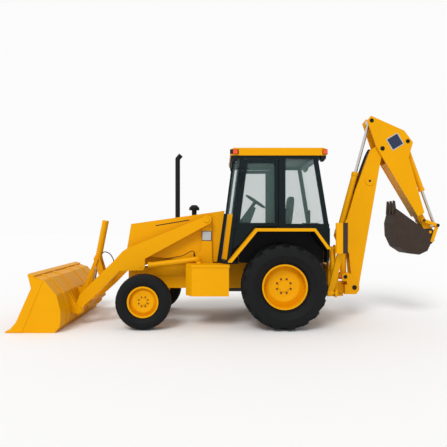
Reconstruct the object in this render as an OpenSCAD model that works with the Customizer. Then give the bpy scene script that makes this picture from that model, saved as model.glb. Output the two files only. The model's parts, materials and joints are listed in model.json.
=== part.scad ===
// Backhoe loader: a two-wheel-drive tractor chassis with a front loader, a cab and a rear digging arm.
// The machine faces -X, +Z is up, and the origin lies on the ground below the middle of its box.

/* [Wheels] */
// Distance between the axles
wheelbase = 2164; // [2050:1:2300]
// Rear tyre diameter, out to the lugs
rear_tyre_d = 1330; // [1250:1:1400]
// Rear tyre width
rear_tyre_w = 490; // [420:1:520]
// Rear rim seat diameter
rear_rim_d = 660; // [600:1:700]
// Front tyre diameter, out to the ribs
front_tyre_d = 856; // [800:1:870]
// Front tyre width
front_tyre_w = 280; // [230:1:300]
// Front rim seat diameter
front_rim_d = 450; // [410:1:480]
// Distance from the middle plane to the middle of a rear tyre
rear_track = 845; // [845:1:900]
// Distance from the middle plane to the middle of a front tyre
front_track = 860; // [850:1:900]

/* [Chassis] */
// Height of the frame rails' top
rail_top = 760; // [740:1:780]
// Depth of the frame rails
rail_depth = 200; // [160:1:220]
// Thickness of a frame rail
rail_t = 60; // [40:1:70]
// Outside half width of the rails
rail_half = 320; // [300:1:330]
// Half width of the hood
hood_half = 445; // [420:1:450]
// Wall of the hood
hood_wall = 24; // [12:1:40]
// Exhaust stack diameter
stack_d = 79; // [60:1:100]
// Height of the exhaust stack's top
stack_top = 2800; // [2500:1:2900]

/* [Cab] */
// Outside half width of the cab
cab_half = 790; // [770:1:800]
// Thickness of the doors and walls
wall_t = 50; // [40:1:60]
// Height of the roof's top
roof_top = 2809; // [2790:1:2850]
// Thickness of the roof
roof_t = 119; // [90:1:130]
// Glass thickness
glass_t = 6; // [5:1:10]

/* [Loader] */
// Loader bucket width
bucket_w = 2240; // [2100:1:2300]
// Loader bucket plate thickness
bucket_t = 22; // [14:1:26]
// Thickness of a loader arm
arm_t = 75; // [60:1:80]
// Inner face of a loader arm, from the middle plane
arm_in = 520; // [520:1:530]
// Lift cylinder barrel diameter
lift_barrel_d = 96; // [80:1:104]
// Lift cylinder rod diameter
lift_rod_d = 50; // [40:1:56]

/* [Backhoe] */
// Boom length, foot pin to dipper pin
boom_len = 2408; // [2300:1:2450]
// Half width of the boom
boom_half = 115; // [110:1:120]
// Thickness of the boom and dipper side plates
cheek_t = 30; // [20:1:34]
// Dipper length, boom pin to bucket pin
dipper_len = 1647; // [1600:1:1700]
// Half width of the dipper's lower end
dipper_half = 75; // [68:1:75]
// Dig bucket width
dig_w = 440; // [380:1:450]
// Dig bucket plate thickness
dig_t = 16; // [10:1:20]
// Boom and crowd cylinder barrel diameter
dig_barrel_d = 108; // [90:1:112]
// Boom, crowd and curl rod diameter
dig_rod_d = 54; // [40:1:60]

/* [Stabilizers] */
// Arm length, pivot to pad
stab_len = 900; // [850:1:920]
// Arm width along the machine
stab_w = 92; // [80:1:96]
// Pad length
pad_len = 460; // [400:1:480]
// Pad width along the machine
pad_w = 170; // [140:1:180]
// Pad thickness
pad_t = 45; // [30:1:50]

/* [Hidden] */
$fn = 48;
// Running fit of a pin in its bore, on the radius
fit = 0.05;
// Side gap between pieces that turn past each other
gap = 5;
// Overrun of a cut
over = 2;
// Straight flank of a link, as a share of its round ends
waist_share = 0.92;
// Bore in a cylinder barrel past its rod, on the radius
gland = 0.4;

// Axle places
rear_x = 719;
front_x = rear_x - wheelbase;
rear_z = rear_tyre_d / 2;
front_z = front_tyre_d / 2;

// Half of the tyre profile, bead to crown: shares of the half width, of the way from rim to tread, of the lug
// depth where a groove runs, and of the lean of the lugs
tyre_shares = [[0.62, 0, 0, 1], [0.62, 0.10, 0, 1], [0.80, 0.17, 0, 1], [1, 0.46, 0, 1], [0.97, 0.70, 0, 1],
    [0.84, 0.93, 0.9, 1], [0.10, 1, 1, 0]];
// Edges of a lug and of the groove behind it, as shares of the pitch
lug_shares = [0, 0.40, 0.50, 0.90];
rib_shares = [0, 0.25, 0.50, 0.75];
// How far a lug leans back from crown to shoulder, as a share of the pitch
lug_lean_share = 0.75;
lug_depth = 38;
rear_pitches = 18;
front_pitches = 8;

function span(a, b) = norm(b - a);
function lean(a, b) = atan2(b[0] - a[0], b[1] - a[1]);
function along(a, b, l) = a + (b - a) * l / norm(b - a);
function local(o, a, p) = o + [p[0] * cos(a) - p[1] * sin(a), p[0] * sin(a) + p[1] * cos(a)];

// Both sides of the machine
module sides() {
    children();
    mirror([0, 1, 0]) children();
}
// Plate cut from an outline in the XZ plane, from y0 to y1
module slab(outline, y0, y1) {
    translate([0, y1, 0]) rotate([90, 0, 0]) linear_extrude(y1 - y0) polygon(outline);
}
// Box between two corners
module block(a, b) {
    translate(a) cube(b - a);
}
// Round pin across the machine at an XZ place
module pin(p, y0, y1, d) {
    translate([p[0], y1, p[1]]) rotate([90, 0, 0]) cylinder(d = d, h = y1 - y0);
}
// Round bar between two XZ places
module bar(p, q, d, y = 0) {
    translate([p[0], y, p[1]]) rotate([0, lean(p, q), 0]) cylinder(d = d, h = span(p, q));
}
// Flat link with round ends between two XZ places
module link(p, q, w, y0, y1) {
    flank = [p[1] - q[1], q[0] - p[0]] * waist_share * w / (2 * span(p, q));
    pin(p, y0, y1, w);
    pin(q, y0, y1, w);
    slab([p + flank, q + flank, q - flank, p - flank], y0, y1);
}
// Leaning post with level ends between two XZ places, w along the machine
module post(p, q, w, y0, y1) {
    half = [w / 2, 0];
    slab([p - half, p + half, q + half, q - half], y0, y1);
}
// Cylinder barrel: base eye with its bore, tube and gland collar, open for the rod
module barrel(base, tip, len, d, rod_d, eye_d, eye_w, pin_d, y = 0) {
    end = along(base, tip, len);
    floor_at = along(base, tip, eye_d / 2);
    collar = along(base, tip, len - d * collar_share);
    cut = max(eye_w, d) / 2 + over;
    difference() {
        union() {
            pin(base, y - eye_w / 2, y + eye_w / 2, eye_d);
            bar(base, end, d, y);
            bar(collar, end, d * collar_d_share, y);
        }
        pin(base, y - cut, y + cut, pin_d + 2 * fit);
        bar(floor_at, along(base, tip, len + over), rod_d + 2 * gland, y);
    }
}
// Cylinder rod from its eye back into the barrel
module rod(base, tip, inside, d, eye_d, eye_w, y = 0) {
    pin(tip, y - eye_w / 2, y + eye_w / 2, eye_d);
    bar(along(base, tip, inside), tip, d, y);
}
// Gland collar length and diameter as shares of the barrel's diameter
collar_share = 0.55;
collar_d_share = 1.14;

// Tyre about the Y axis, centred on the wheel.
// The lugs of one side stand across from the grooves of the other.
module tyre(d, w, rim_d, pitches, shares, depth, lean_share) {
    n = len(shares);
    count = n * pitches;
    rows = 2 * len(tyre_shares);
    h = (d - rim_d) / 2;
    bead_r = rim_d / 2 / cos(180 / count);
    points = [for (i = [0 : rows - 1]) let (
            front = i < rows / 2, t = tyre_shares[front ? i : rows - 1 - i],
            place = t[2] > 0 ? shares : rib_shares)
        for (k = [0 : count - 1]) let (
                c = k % n, cut = (c < n / 2) == front ? 0 : t[2] * depth,
                r = (t[1] > 0 ? rim_d / 2 + t[1] * h : bead_r) - cut,
                a = (floor(k / n) + place[c] + t[3] * lean_share) * 360 / pitches)
            [r * cos(a), r * sin(a), (front ? w : -w) / 2 * t[0]]];
    faces = [for (i = [0 : rows - 1]) let (a = i * count, b = (i + 1) % rows * count)
        for (k = [0 : count - 1]) let (q = (k + 1) % count)
            each i < rows / 2 ? [[a + k, a + q, b + q], [a + k, b + q, b + k]]
                : [[a + k, a + q, b + k], [a + q, b + q, b + k]]];
    rotate([90, 0, 0]) polyhedron(points, faces);
}
// Wheel rim: seat, flanges, dished disc and hub, bored for its shaft. Its outside faces -Y.
module rim(seat_d, w, dish, disc_t, hub_d, hub_w, shaft_d, rim_t, lip) {
    r = seat_d / 2 - seat;
    half = w / 2 * tyre_shares[0][0];
    rotate([90, 0, 0]) difference() {
        union() {
            rotate_extrude($fn = 96) polygon([
                [r - rim_t, -half], [r, -half], [r, half], [r + lip, half], [r + lip, half + rim_t],
                [r - rim_t, half + rim_t]]);
            rotate_extrude($fn = 96) polygon([
                [0, dish], [hub_d, dish], [r * disc_share, dish + disc_t], [r - rim_t / 2, dish - disc_t],
                [r - rim_t / 2, dish - 2 * disc_t], [r * disc_share, dish], [hub_d, dish - disc_t],
                [0, dish - disc_t]]);
            translate([0, 0, dish - hub_w]) cylinder(d = hub_d, h = hub_w + disc_t);
        }
        translate([0, 0, dish - hub_w - over]) cylinder(d = shaft_d + 2 * fit, h = hub_w - disc_t + over);
    }
}
// Where the disc's step lies, as a share of the rim's radius
disc_share = 0.72;

// Frame rails and nose, the loader towers on them, and the rear box with its stabilizer and swing pivots
nose_over = 343;
nose_x = front_x - nose_over;
nose_len = 128;
nose_top = 1215;
rear_box = [1470, 1630];
box_half = 585;
box_z = [480, 960];
rail_z = rail_top - rail_depth;
tower_in = 465;
tower_out = 500;
tower_pts = [[-760, 600], [-340, 600], [-400, 1100], [-405, 1750], [-555, 1750], [-575, 1180],
    [-715, 1130], [-730, 900]];
tower_beam = [[-740, 600], [-360, 740]];
tank_arm = [[-600, 620], [-420, 700]];
hood_stay = [[-540, 1300], [-420, 1400]];
arm_pivot = [-481, 1686];
arm_pin_d = 60;
arm_out = arm_in + arm_t;
lift_base = [-636, 1052];
lift_pin_d = 44;
cross_len = 280;
cross_t = 60;
tow_len = 80;
tow_half = 80;
tow_t = 50;
tow_bore = 32;
swing_x = 1798;
king_d = 70;
lug_half = 60;
lug_t = 40;
lug_low = 385;
lug_high = 595;
lug_root = 70;
stab_pivot = [700, 532];
stab_pin_d = 50;
stab_x = 1470;
stab_base = [560, 1230];
stab_plane = 1520;
stab_eye_w = 30;
stab_base_w = 82;
stay_t = 16;
stay_low = 900;
ear_x = 70;
stay_half = 60;
stay_top = 1285;
ear_t = 30;
ear_z = 60;
tank_in = 620;

module swing_lug(z) {
    translate([0, 0, z]) difference() {
        union() {
            block([rear_box[1] - lug_root, -lug_half, 0], [swing_x, lug_half, lug_t]);
            translate([swing_x, 0, 0]) cylinder(r = lug_half, h = lug_t);
        }
        translate([swing_x, 0, -over]) cylinder(d = king_d + 2 * fit, h = lug_t + 2 * over);
    }
}
module frame() color("goldenrod") {
    difference() {
        union() {
            sides() block([nose_x, rail_half - rail_t, rail_z], [rear_box[0], rail_half, rail_top]);
            block([nose_x, -rail_half, rail_z], [nose_x + nose_len, rail_half, nose_top]);
            block([front_x - cross_len / 2, -rail_half, rail_z],
                [front_x + cross_len / 2, rail_half, rail_z + cross_t]);
            // Bridges over the rear axle
            sides() block([rear_x - axle_d, rail_half - rail_t, rail_top - rail_t],
                [rear_x + axle_d, rail_half, rail_top + rail_t]);
        }
        // Notch over the rear axle housing
        pin([rear_x, rear_z], -rail_half - over, rail_half + over, axle_d + 2 * seat);
        block([rear_x - axle_d / 2 - seat, -rail_half - over, rail_z - over],
            [rear_x + axle_d / 2 + seat, rail_half + over, rear_z]);
    }
    // Tow lug with its upright pin hole
    difference() {
        block([nose_x - tow_len, -tow_half, rail_z], [nose_x, tow_half, rail_z + tow_t]);
        translate([nose_x - tow_len / 2, 0, rail_z - over]) cylinder(d = tow_bore, h = tow_t + 2 * over);
    }
}
// Towers that carry the loader arms and the side tanks, with their pins
module loader_towers() color("goldenrod") sides() {
    slab(tower_pts, tower_in, tower_out);
    block([tower_beam[0][0], rail_half, tower_beam[0][1]], [tower_beam[1][0], tower_in, tower_beam[1][1]]);
    block([tank_arm[0][0], tower_out, tank_arm[0][1]], [tank_arm[1][0], tank_in, tank_arm[1][1]]);
    block([hood_stay[0][0], hood_half, hood_stay[0][1]], [hood_stay[1][0], tower_in, hood_stay[1][1]]);
    pin(arm_pivot, tower_out, arm_out + gap, arm_pin_d);
    pin(lift_base, tower_out, arm_out + gap, lift_pin_d);
}
module rear_frame() color("goldenrod") {
    block([rear_box[0], -box_half, box_z[0]], [rear_box[1], box_half, box_z[1]]);
    // Swing lugs and the drop plate of the lower one
    swing_lug(lug_high);
    swing_lug(lug_low);
    block([rear_box[1] - lug_root, -lug_half, lug_low], [rear_box[1], lug_half, box_z[0]]);
    // Stabilizer pivots and cylinder stays
    sides() {
        block([rear_box[0] + ear_x, box_half, stab_pivot[1] - ear_z],
            [rear_box[0] + ear_x + ear_t, stab_pivot[0] + ear_z, stab_pivot[1] + ear_z]);
        translate([stab_x - stab_w / 2 - gap, stab_pivot[0], stab_pivot[1]]) rotate([0, 90, 0])
            cylinder(d = stab_pin_d, h = rear_box[0] + ear_x - stab_x + stab_w / 2 + gap);
        for (s = [-1, 1])
            translate([stab_plane + s * (stab_base_w / 2 + gap + stay_t / 2) - stay_t / 2,
                    stab_base[0] - stay_half, stay_low])
                cube([stay_t, 2 * stay_half, stay_top - stay_low]);
        translate([stab_plane - stab_base_w / 2 - gap - stay_t, stab_base[0], stab_base[1]])
            rotate([0, 90, 0]) cylinder(d = stab_pin_d, h = stab_base_w + 2 * gap + 2 * stay_t);
    }
}

// Engine and gearbox, one plain block each, joined
engine_behind = 45;
engine_x = [front_x + engine_behind, -560];
engine_half = 235;
engine_top = 1330;
gearbox_x = 529;
gearbox_half = 225;
gearbox_z = [490, 900];
module engine() color("dimgray") {
    block([engine_x[0], -engine_half, rail_z + cross_t], [engine_x[1], engine_half, engine_top]);
    block([engine_x[1], -gearbox_half, gearbox_z[0]], [gearbox_x, gearbox_half, gearbox_z[1]]);
}

// Hood with its holes, and the grille in its open front
hood_lean = 67;
hood_chin = 98;
hood_front = [[nose_x, 1223], [nose_x + hood_lean, 1623]];
hood_rear = [[-319, 1000], [-196, 1839]];
hood_low = [nose_x + hood_chin, 1110];
stack_at = [-980, -250];
cleaner_at = [-718, 0];
cleaner_d = 85;
cleaner_cap_d = 176;
cleaner_top = 1948;
cleaner_cap_h = 90;
seat = 0.3;
grille_t = 40;
grille_bar = 26;
grille_rows = 9;
module hood() color("gold") difference() {
    slab([hood_front[0], hood_front[1], hood_rear[1], hood_rear[0], hood_low], -hood_half, hood_half);
    slab([hood_front[0] - [hood_wall, 0], hood_front[1] - [hood_wall, hood_wall],
            hood_rear[1] - [hood_wall, hood_wall], hood_rear[0] - [hood_wall, hood_wall],
            [hood_low[0], rail_z]], -hood_half + hood_wall, hood_half - hood_wall);
    translate([stack_at[0], stack_at[1], engine_top]) cylinder(d = stack_d + 2 * seat, h = stack_top);
    translate([cleaner_at[0], cleaner_at[1], engine_top]) cylinder(d = cleaner_d + 2 * seat, h = stack_top);
}
module grille() color("black") difference() {
    low = hood_front[0];
    high = hood_front[1] - [0, hood_wall];
    slab([low, high, high + [grille_t, 0], low + [grille_t, 0]],
        -hood_half + hood_wall, hood_half - hood_wall);
    rise = (high[1] - low[1]) / grille_rows;
    for (i = [0 : grille_rows - 1])
        block([low[0] - over, -hood_half + 2 * hood_wall, low[1] + i * rise + grille_bar / 2],
            [high[0] + grille_t / 2 - (grille_rows - 1 - i) * grille_step_share * grille_t,
                hood_half - 2 * hood_wall, low[1] + (i + 1) * rise - grille_bar / 2]);
}
// How far each slot's floor steps forward with the leaning face, as a share of the grille's thickness
grille_step_share = 0.18;

// Exhaust stack with a tip bent to the rear
stack_bend = 88;
stack_wall = 4;
stack_turn = 40;
stack_tip = 84;
module exhaust_stack() color("black") {
    low = stack_top - stack_bend;
    translate([stack_at[0], stack_at[1], engine_top]) cylinder(d = stack_d, h = low - engine_top);
    translate([stack_at[0], stack_at[1], low]) {
        sphere(d = stack_d);
        rotate([0, stack_turn, 0]) difference() {
            cylinder(d = stack_d, h = stack_tip);
            translate([0, 0, stack_tip / 2]) cylinder(d = stack_d - 2 * stack_wall, h = stack_tip);
        }
    }
}
module air_cleaner() color("black") {
    translate([cleaner_at[0], cleaner_at[1], engine_top])
        cylinder(d = cleaner_d, h = cleaner_top - cleaner_cap_h - engine_top);
    translate([cleaner_at[0], cleaner_at[1], cleaner_top - cleaner_cap_h]) rotate_extrude()
        polygon([[0, 0], [cleaner_cap_d / 2, 0], [cleaner_cap_d / 2, cleaner_cap_h / 2],
            [cleaner_d / 2, cleaner_cap_h], [0, cleaner_cap_h]]);
}

// Side tanks on the tower brackets, with their front outer corners cut off
tank_behind = 646;
tank_x = front_x + tank_behind;
tank_step = 102;
tank_turn = 140;
tank_back = -128;
tank_z = [517, 960];
tank_out = 950;
lid_t = 38;
lid_lip = 12;
// Plan of a tank, or of its lid with a lip
module tank_plan(lip) polygon([[tank_x, tank_in], [tank_back + lip, tank_in],
    [tank_back + lip, tank_out + lip], [tank_x + tank_step, tank_out + lip], [tank_x, tank_out - tank_turn]]);
module side_tanks() color("goldenrod") sides() {
    translate([0, 0, tank_z[0]]) linear_extrude(tank_z[1] - tank_z[0]) tank_plan(0);
    translate([0, 0, tank_z[1]]) linear_extrude(lid_t) tank_plan(lid_lip);
}

// Cab: posts, top ring, floor, firewall and rear wall. The front leans back.
floor_z = [1000, 1040];
cab_head = roof_top - roof_t;
ring_t = 50;
cab_rise = cab_head - floor_z[1];
front_back = 214;
post_w = 60;
a_foot = -134;
screen_foot = -248;
screen_half = 500;
b_x = [651, 755];
c_foot = 1405;
c_back = 185;
c_w = 70;
deck_top = 1557;
deck_low = 1246;
cab_stands = [-100, 440];
sill_top = 1625;
fender_pts = [[-145, 1045], [277, deck_top], [1168, deck_top], [1398, deck_low]];
rear_wall = [1410, 1450];
cowl_top = 1790;
cowl_t = 40;
inner_half = 560;
floor_half = cab_half - gap;
floor_step = 20;
post_mid = cab_half - wall_t / 2;
// Door hinges: a barrel on the door between two brackets on the front post, along its lean
door_gap = 8;
hinge_d = 30;
hinge_pin_d = 16;
hinge_h = 110;
hinge_t = 12;
hinge_leaf = 46;
hinge_off = 17;
hinge_zs = [1560, 2300];
module hinge_place(z) translate([lean_x(a_foot, z) + (post_w + door_gap) / 2, cab_half + hinge_off, z])
    rotate([0, atan2(front_back, cab_rise), 0]) children();
function lean_x(foot, z) = foot + front_back * (z - floor_z[1]) / cab_rise;
function c_x(z) = c_foot - c_back * (z - deck_top) / (cab_head - deck_top);
module cab_frame() color("darkslategray") {
    half = post_w / 2;
    rim_half = half + gap;
    ring_half = cab_half + over;
    back = c_x(cab_head) + c_w;
    sunk = (floor_z[0] + floor_z[1]) / 2;
    c_low = deck_top - wall_t / 2;
    fx = lean_x(screen_foot, cab_head);
    ax = lean_x(a_foot, cab_head);
    sides() {
        post([lean_x(a_foot, sunk), sunk], [ax, cab_head], post_w, cab_half - wall_t, cab_half);
        post([lean_x(screen_foot, sunk), sunk], [fx, cab_head], post_w,
            screen_half - wall_t / 2, screen_half + wall_t / 2);
        block([b_x[0], cab_half - wall_t, deck_top], [b_x[1], cab_half, cab_head]);
        post([c_x(c_low), c_low], [c_x(cab_head), cab_head], c_w, cab_half - wall_t, cab_half);
        block([b_x[1], cab_half - wall_t, deck_top], [c_foot, cab_half, sill_top]);
        slab([fender_pts[2] + [over, 0], [rear_wall[1], deck_top], [rear_wall[1], deck_low],
            fender_pts[3] + [over, 0]], cab_half - wall_t, cab_half);
        // Brackets and pins of the door hinges
        for (z = hinge_zs) hinge_place(z) {
            translate([0, 0, -gap - hinge_t]) cylinder(d = hinge_pin_d, h = hinge_h + 2 * (gap + hinge_t));
            for (h = [-gap - hinge_t, hinge_h + gap]) translate([0, 0, h]) {
                cylinder(d = hinge_d, h = hinge_t);
                block([-hinge_leaf, -hinge_off - gap, 0], [-door_gap, 0, hinge_t]);
            }
        }
    }
    // Top ring, a little wider than the posts below it
    translate([0, 0, cab_head - ring_t]) linear_extrude(ring_t) difference() {
        polygon([[fx - rim_half, -screen_half], [ax - rim_half, -ring_half], [back, -ring_half],
            [back, ring_half], [ax - rim_half, ring_half], [fx - rim_half, screen_half]]);
        polygon([[fx + post_w, -screen_half], [ax + post_w, -cab_half + wall_t],
            [c_x(cab_head) - half, -cab_half + wall_t], [c_x(cab_head) - half, cab_half - wall_t],
            [ax + post_w, cab_half - wall_t], [fx + post_w, screen_half]]);
    }
    // Floor, wide at the doors and narrow between the wheel boxes
    translate([0, 0, floor_z[0]]) linear_extrude(floor_z[1] - floor_z[0]) polygon([
        [screen_foot - post_w, -screen_half - post_w], [a_foot - post_w, -floor_half],
        [floor_step, -floor_half], [floor_step, -inner_half],
        [rear_wall[1], -inner_half], [rear_wall[1], inner_half],
        [floor_step, inner_half], [floor_step, floor_half], [a_foot - post_w, floor_half],
        [screen_foot - post_w, screen_half + post_w]]);
    post([lean_x(screen_foot, sunk), sunk], [lean_x(screen_foot, cowl_top), cowl_top], cowl_t,
        -screen_half, screen_half);
    block([rear_wall[0], -cab_half + wall_t - over, floor_z[1]],
        [rear_wall[1], cab_half - wall_t + over, sill_top]);
    block([rear_wall[0], -inner_half, floor_z[0]], [rear_wall[1], inner_half, floor_z[1]]);
    // Stands that carry the cab on the gearbox
    for (x = cab_stands) sides()
        block([x - post_w, gearbox_half - 2 * post_w, gearbox_z[1]], [x + post_w, gearbox_half, floor_z[0]]);
}

// Roof slab with drooped ends
roof_ends = [-111, 1410];
roof_lap = 20;
roof_half = cab_half + roof_lap;
roof_drop = 25;
roof_round = 60;
module cab_roof() color("gold") slab([
    [roof_ends[0], cab_head + roof_drop], [roof_ends[0] + roof_drop, cab_head],
    [roof_ends[1] - roof_drop, cab_head], [roof_ends[1], cab_head + roof_drop],
    [roof_ends[1] - roof_drop / 2, roof_top - roof_drop], [roof_ends[1] - roof_round, roof_top],
    [roof_ends[0] + roof_round, roof_top], [roof_ends[0] + roof_drop / 2, roof_top - roof_drop]],
    -roof_half, roof_half);

// Fixed glass: windscreen, angled quarter panes, rear side panes and the back pane
module cab_glass() color("lightsteelblue", 0.5) {
    g = glass_t / 2;
    ring_z = cab_head - ring_t;
    quarter_lean = atan2(front_back, cab_rise);
    inset = wall_t / 2;
    post([lean_x(screen_foot, cowl_top), cowl_top], [lean_x(screen_foot, ring_z), ring_z], glass_t,
        -screen_half + wall_t / 2, screen_half - wall_t / 2);
    sides() {
        intersection() {
            translate([0, 0, floor_z[1]]) rotate([0, quarter_lean, 0]) translate([0, 0, -cab_rise])
                linear_extrude(3 * cab_rise) polygon([
                    [(screen_foot - g) * cos(quarter_lean), screen_half + inset],
                    [(screen_foot + glass_t + g) * cos(quarter_lean), screen_half + inset],
                    [(a_foot + glass_t + g) * cos(quarter_lean), cab_half - wall_t],
                    [(a_foot - g) * cos(quarter_lean), cab_half - wall_t]]);
            block([2 * screen_foot, 0, floor_z[1]], [b_x[0], cab_half, ring_z]);
        }
        slab([[b_x[1], sill_top], [c_x(sill_top) - c_w / 2 - over, sill_top],
            [c_x(ring_z) - c_w / 2 - over, ring_z], [b_x[1], ring_z]], post_mid - g, post_mid + g);
    }
    back = [c_w / 3, 0];
    post([c_x(sill_top), sill_top] + back, [c_x(ring_z), ring_z] + back, glass_t,
        -cab_half + wall_t, cab_half - wall_t);
}

// Doors, hinged on the front posts, their foot cut along the fender
door_clear = 28;
door_foot_clear = 92;
door_knee_x = 60;
door_border = 60;
door_pane_foot = 1640;
function fender_z(x) = fender_pts[0][1]
    + (x - fender_pts[0][0]) * (fender_pts[1][1] - fender_pts[0][1]) / (fender_pts[1][0] - fender_pts[0][0]);
function door_x(z) = lean_x(a_foot, z) + post_w / 2 + door_gap;
door_foot_x = -75;
door_head = cab_head - ring_t - door_gap;
door_foot = fender_z(door_foot_x) + door_foot_clear;
door_pts = [[door_x(door_foot), door_foot], [door_knee_x, fender_z(door_knee_x) + door_clear],
    [fender_pts[1][0], deck_top + door_clear], [b_x[0] - door_gap, deck_top + door_clear],
    [b_x[0] - door_gap, door_head], [door_x(door_head), door_head]];
pane_pts = [[door_x(door_pane_foot) + door_border, door_pane_foot],
    [b_x[0] - door_gap - door_border, door_pane_foot],
    [b_x[0] - door_gap - door_border, door_head - door_border],
    [door_x(door_head - door_border) + door_border, door_head - door_border]];
handle_w = 26;
handle_h = 90;
handle_out = 34;
module door() {
    difference() {
        slab(door_pts, cab_half - wall_t, cab_half);
        slab(pane_pts, cab_half - wall_t - over, cab_half + over);
    }
    grip_x = b_x[0] - door_gap - (door_border + handle_w) / 2;
    block([grip_x, cab_half, door_pane_foot + handle_h],
        [grip_x + handle_w, cab_half + handle_out, door_pane_foot + 2 * handle_h]);
    door_hinges();
}
module door_hinges() for (z = hinge_zs) hinge_place(z) difference() {
    union() {
        cylinder(d = hinge_d, h = hinge_h);
        block([door_gap / 2, -hinge_off, 0], [hinge_leaf, -door_gap / 2, hinge_h]);
    }
    translate([0, 0, -over]) cylinder(d = hinge_pin_d + 2 * fit, h = hinge_h + 2 * over);
}
module door_pane() slab(pane_pts, post_mid - glass_t / 2, post_mid + glass_t / 2);
module door_left() color("black") mirror([0, 1, 0]) door();
module door_right() color("black") door();
module door_glass_left() color("lightsteelblue", 0.5) mirror([0, 1, 0]) door_pane();
module door_glass_right() color("lightsteelblue", 0.5) door_pane();

// Fenders: a bent deck over each rear wheel and the wall of the wheel box inside it
fender_t = 45;
fender_out = 1090;
wheel_wall = 30;
fender_in_shares = [[1.3, 0], [0.45, -1], [-0.4, -1], [-1.25, 0]];
module fenders() color("gold") sides() {
    inner = [for (i = [0 : 3]) fender_pts[i] + fender_in_shares[i] * fender_t];
    difference() {
        slab(concat(fender_pts, [inner[3], inner[2], inner[1], inner[0]]), inner_half, fender_out);
        // Room for the door post's foot
        block([2 * screen_foot, 0, floor_z[0]], [a_foot + post_w, cab_half + gap, deck_low]);
    }
    slab([[floor_step + over, floor_z[0]], [floor_step + over, fender_z(floor_step)],
        fender_pts[1] - [0, over], fender_pts[2] - [0, over],
        fender_pts[3] - [over, 0], [fender_pts[3][0] - over, floor_z[0]]],
        inner_half, inner_half + wheel_wall);
}

// Seat on its stand
cushion = [[480, 1500], [900, 1610]];
seat_half = 240;
back_pts = [[850, 1610], [960, 1610], [1010, 2090], [930, 2090]];
stand_x = [560, 820];
stand_half = 180;
module driver_seat() color("black") {
    block([stand_x[0], -stand_half, floor_z[1]], [stand_x[1], stand_half, cushion[0][1]]);
    block([cushion[0][0], -seat_half, cushion[0][1]], [cushion[1][0], seat_half, cushion[1][1]]);
    slab(back_pts, -seat_half, seat_half);
}

// Steering column and wheel in front of the seat, lever console behind it
wheel_at = [341, 2010];
wheel_r = 185;
wheel_tube = 15;
wheel_tilt = 34;
column_d = 60;
column_len = 560;
dash_x = [-150, 60];
dash_half = 200;
dash_top = 1580;
console_x = [1180, 1330];
console_top = 1640;
lever_d = 18;
lever_top = 1860;
lever_ys = [-140, -50, 50, 140];
module controls() color("dimgray") {
    block([dash_x[0], -dash_half, floor_z[1]], [dash_x[1], dash_half, dash_top]);
    translate([wheel_at[0], 0, wheel_at[1]]) rotate([0, wheel_tilt, 0]) {
        rotate_extrude() translate([wheel_r, 0]) circle(r = wheel_tube, $fn = 24);
        translate([0, 0, -column_len]) cylinder(d = column_d, h = column_len);
        for (a = [0, 120, 240]) rotate([0, 90, a]) cylinder(r = wheel_tube / 2, h = wheel_r);
    }
    block([console_x[0], -dash_half, floor_z[1]], [console_x[1], dash_half, console_top]);
    for (y = lever_ys) translate([(console_x[0] + console_x[1]) / 2, y, console_top - over])
        cylinder(d = lever_d, h = lever_top - console_top);
}

// Corner lamps on the roof and head lamps on the nose
lamp_x = [[-64, 8], [1335, 1398]];
lamp_t = 24;
lamp_z = [2712, 2776];
head_lamp = [[180, 1050], [300, 1150]];
module lamps() color("orangered") sides() {
    for (x = lamp_x) block([x[0], roof_half, lamp_z[0]], [x[1], roof_half + lamp_t, lamp_z[1]]);
    block([nose_x - lamp_t, head_lamp[0][0], head_lamp[0][1]], [nose_x, head_lamp[1][0], head_lamp[1][1]]);
}

// Front axle with its king pins, and the knuckles that turn on them
beam_w = 100;
beam_h = 96;
kingpin_y = 690;
kingpin_d = 50;
eye_d = 100;
eye_h = 110;
fork_gap = 5;
fork_t = 32;
fork_w = 90;
bolster_w = 180;
bolster_half = 110;
spindle_d = 64;
spindle_in = 745;
spindle_flange = 30;
hub_end = 870;
module front_axle() color("goldenrod") {
    block([front_x - beam_w / 2, -kingpin_y, front_z - beam_h / 2],
        [front_x + beam_w / 2, kingpin_y, front_z + beam_h / 2]);
    block([front_x - bolster_w / 2, -bolster_half, front_z], [front_x + bolster_w / 2, bolster_half, rail_z]);
    sides() translate([front_x, kingpin_y, front_z]) {
        translate([0, 0, -eye_h / 2]) cylinder(d = eye_d, h = eye_h);
        translate([0, 0, -eye_h / 2 - fork_gap - fork_t])
            cylinder(d = kingpin_d, h = eye_h + 2 * (fork_gap + fork_t));
    }
}
module knuckle() translate([front_x, 0, front_z]) {
    low = eye_h / 2 + fork_gap;
    difference() {
        for (z = [low, -low - fork_t]) translate([0, 0, z]) {
            translate([0, kingpin_y, 0]) cylinder(d = fork_w, h = fork_t);
            block([-fork_w / 2, kingpin_y, 0], [fork_w / 2, spindle_in + spindle_flange, fork_t]);
        }
        translate([0, kingpin_y, -eye_h]) cylinder(d = kingpin_d + 2 * fit, h = 2 * eye_h);
    }
    block([-fork_w / 2, spindle_in, -low - fork_t], [fork_w / 2, spindle_in + spindle_flange, low + fork_t]);
    translate([0, spindle_in, 0]) rotate([-90, 0, 0]) cylinder(d = spindle_d, h = hub_end - spindle_in);
}
module knuckle_left() color("dimgray") mirror([0, 1, 0]) knuckle();
module knuckle_right() color("dimgray") knuckle();

// Rear axle: middle case, housings and wheel shafts
axle_d = 200;
case_w = 380;
case_half = 255;
case_z = [510, 830];
housing_end = 590;
shaft_d = 100;
shaft_end = 845;
module rear_axle() color("dimgray") {
    block([rear_x - case_w / 2, -case_half, case_z[0]], [rear_x + case_w / 2, case_half, case_z[1]]);
    pin([rear_x, rear_z], -housing_end, housing_end, axle_d);
    pin([rear_x, rear_z], -shaft_end, shaft_end, shaft_d);
}

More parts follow.
